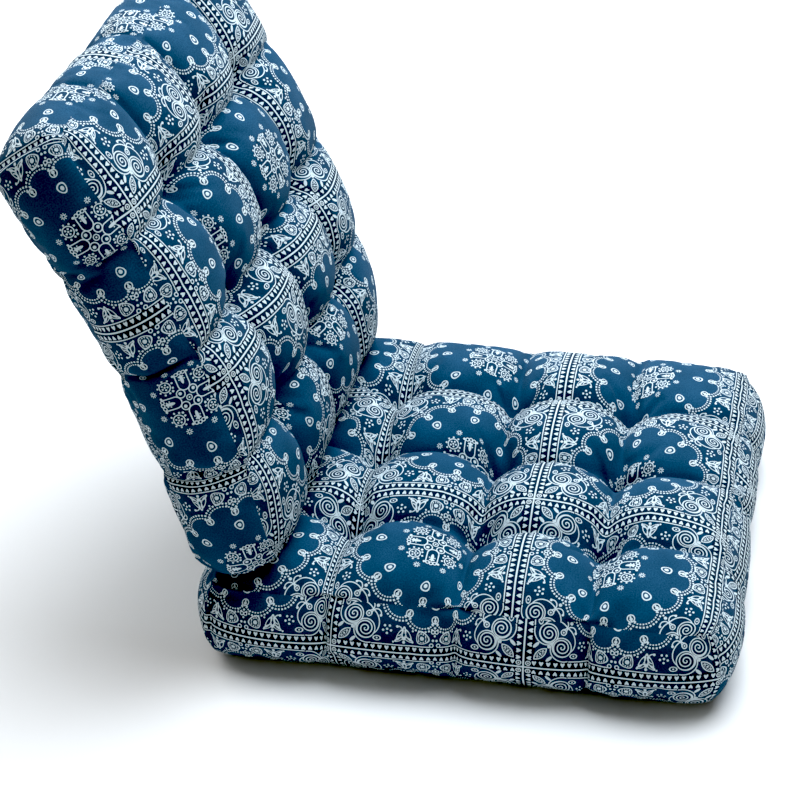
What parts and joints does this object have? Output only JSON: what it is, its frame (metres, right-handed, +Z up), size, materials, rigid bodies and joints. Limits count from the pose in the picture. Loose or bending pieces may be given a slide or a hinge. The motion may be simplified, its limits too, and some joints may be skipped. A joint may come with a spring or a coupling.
{
  "type": "tufted square seat and back floor cushion",
  "caption": "Square tufted seat cushion with a like back cushion standing on its rear strip, in navy and white bandana-print cotton.",
  "frame": {"origin": "middle of the seat cushion's flat underside, on the floor", "axes": "+X from the back cushion towards the seat's front edge, +Y along the back's width, +Z up"},
  "size_m": [0.6994, 0.5504, 0.5646],
  "materials": {
    "seat_cotton": "plain-woven printed cotton, matte",
    "back_cotton": "plain-woven printed cotton, matte"
  },
  "bodies": {
    "root": {"seat_cushion": "seat_cotton", "back_cushion": "back_cotton"}
  },
  "joints": []
}
